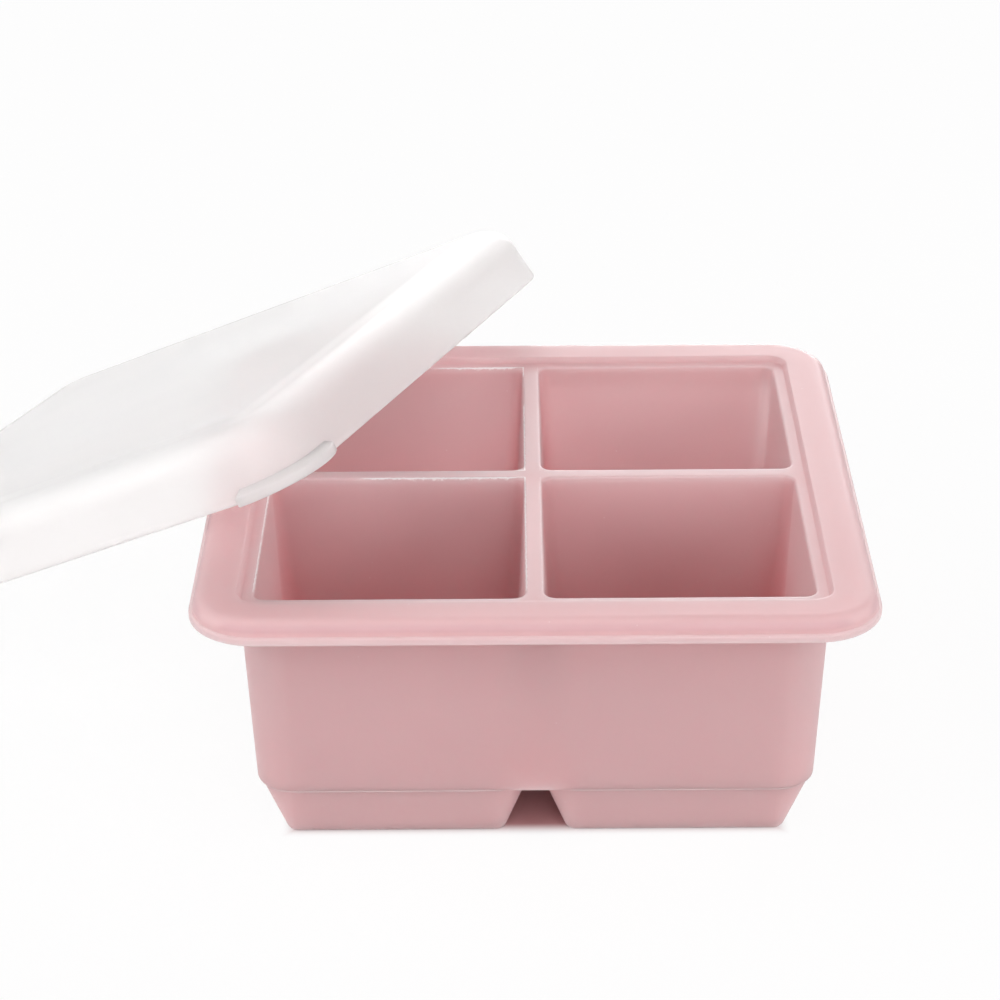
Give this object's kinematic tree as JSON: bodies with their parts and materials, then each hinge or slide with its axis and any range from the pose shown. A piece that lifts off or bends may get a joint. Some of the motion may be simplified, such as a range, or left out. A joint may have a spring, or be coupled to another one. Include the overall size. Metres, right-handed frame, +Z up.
{
  "type": "baby food freezer tray",
  "caption": "Square soft freezer tray with deep cups on chamfered feet under a broad rim; its shallow frosted lid leans on a rim corner.",
  "frame": {"origin": "on the table, under the middle of the tray", "axes": "+Z up, front of the tray (the side facing the viewer) towards -Y, +X to the viewer's right; the lid leans off the far left corner"},
  "size_m": [0.2305, 0.2043, 0.0786],
  "materials": {
    "silicone": "matt, dusty pink, slightly translucent",
    "frosted": "frosted translucent white"
  },
  "bodies": {
    "tray": {"tray": "silicone"},
    "lid": {"lid": "frosted"}
  },
  "joints": [
    {"name": "lid_lift", "type": "slide", "parent": "tray", "child": "lid", "axis": [0, 0, 1], "range_m": [0, 0.07]}
  ]
}
